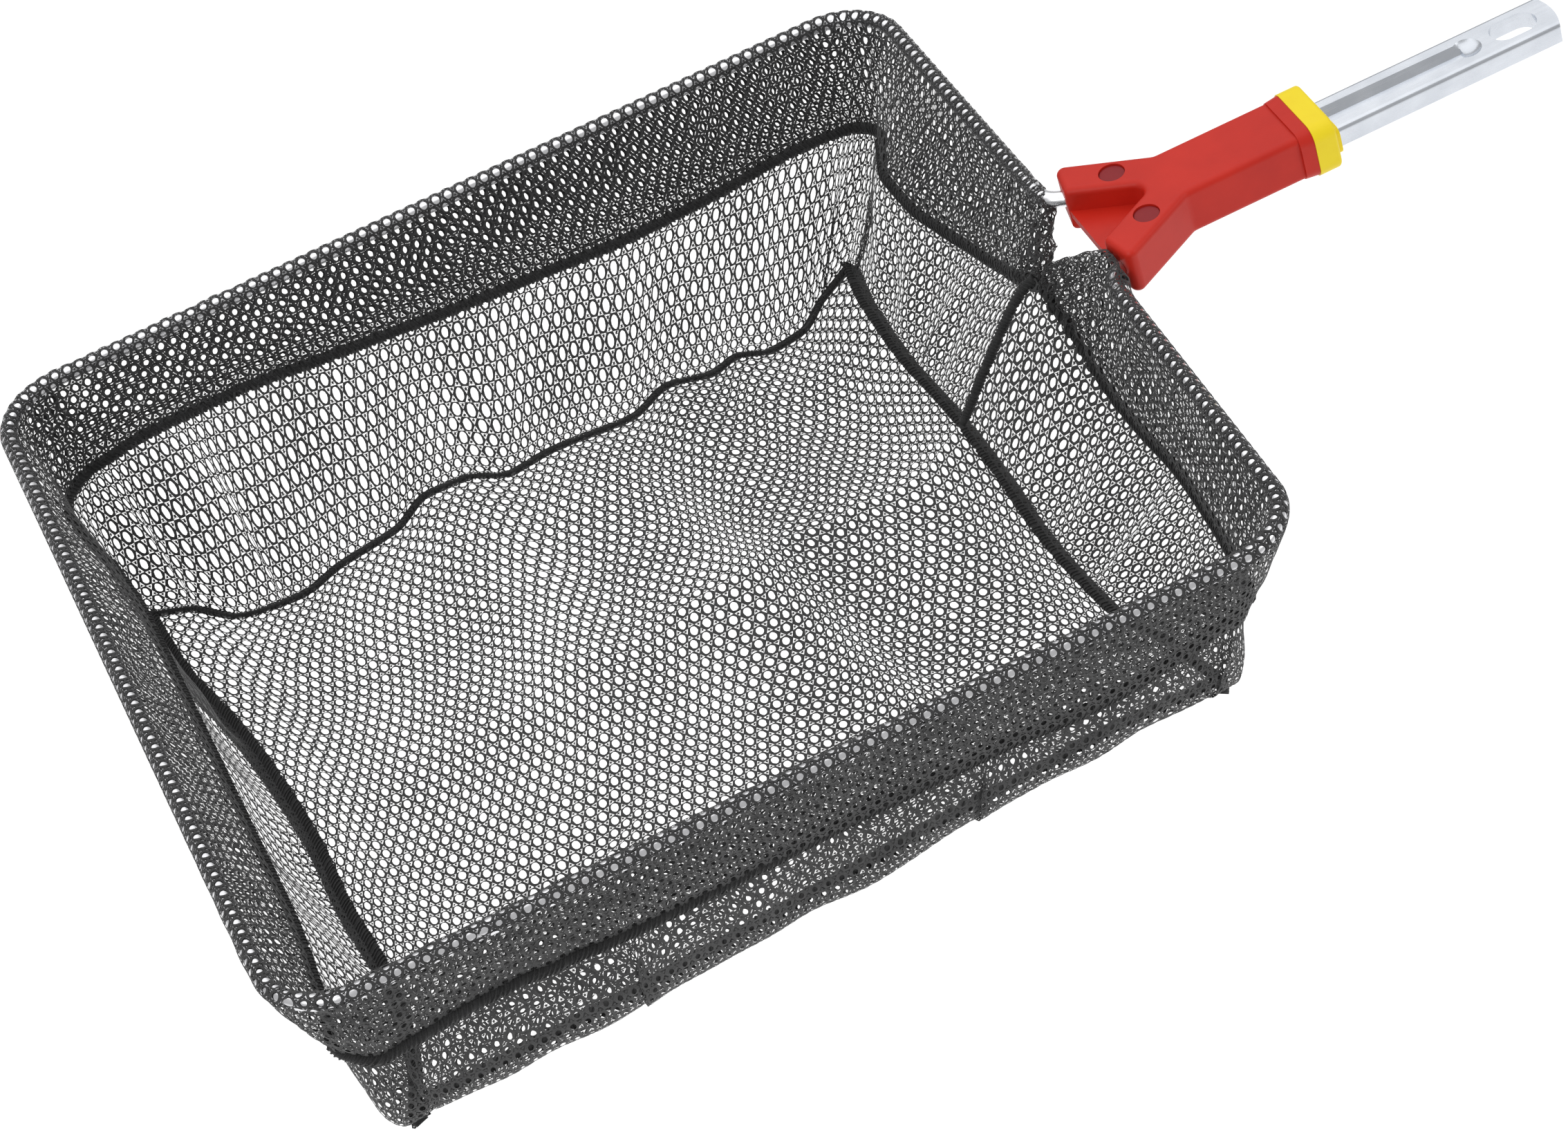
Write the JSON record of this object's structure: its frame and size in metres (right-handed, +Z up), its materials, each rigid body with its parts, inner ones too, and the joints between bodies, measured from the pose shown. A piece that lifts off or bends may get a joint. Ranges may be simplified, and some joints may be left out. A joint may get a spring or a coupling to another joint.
{
  "type": "leaf skimmer net head",
  "caption": "Square rod frame with a shallow knitted mesh bag, gripped by a forked plastic socket with a collar and a pressed steel tang for a pole.",
  "frame": {"origin": "on the tang's axis, in the plane of the collar's rear face, where the pole's mouth comes to rest", "axes": "+X along the tang towards the pole, +Z up out of the bag's mouth, +Y across the net"},
  "size_m": [0.5576, 0.368, 0.1132],
  "materials": {
    "bright_rod": "bright drawn rod",
    "red_plastic": "fine satin moulding texture",
    "dark_red_plastic": "satin",
    "yellow_plastic": "satin",
    "zinc_steel": "bright zinc plate",
    "pin_steel": "plain",
    "black_mesh": "warp-knit polyester mesh",
    "seam_thread": "overlocked thread"
  },
  "bodies": {
    "head": {"frame_rod": "bright_rod", "socket_upper_shell": "red_plastic", "socket_lower_shell": "red_plastic", "collar": "yellow_plastic", "tang": "zinc_steel", "tang_pins": "pin_steel", "rod_screws": "pin_steel", "recess_plugs": "dark_red_plastic", "sleeve_far": "black_mesh", "sleeve_near": "black_mesh", "sleeve_end": "black_mesh", "sleeve_handle_far": "black_mesh", "sleeve_handle_near": "black_mesh", "hem_seam": "seam_thread", "wall_far": "black_mesh", "wall_near": "black_mesh", "wall_end": "black_mesh", "wall_handle_far": "black_mesh", "wall_handle_near": "black_mesh", "closing_seam": "seam_thread"},
    "bag_floor": {"floor_panel": "black_mesh", "floor_seam": "seam_thread"}
  },
  "joints": [
    {"name": "bag_fold", "type": "slide", "parent": "head", "child": "bag_floor", "axis": [0, 0, 1], "range_m": [0, 0.025], "deforming": ["wall_far", "wall_near", "wall_end", "wall_handle_far", "wall_handle_near", "closing_seam"]}
  ]
}
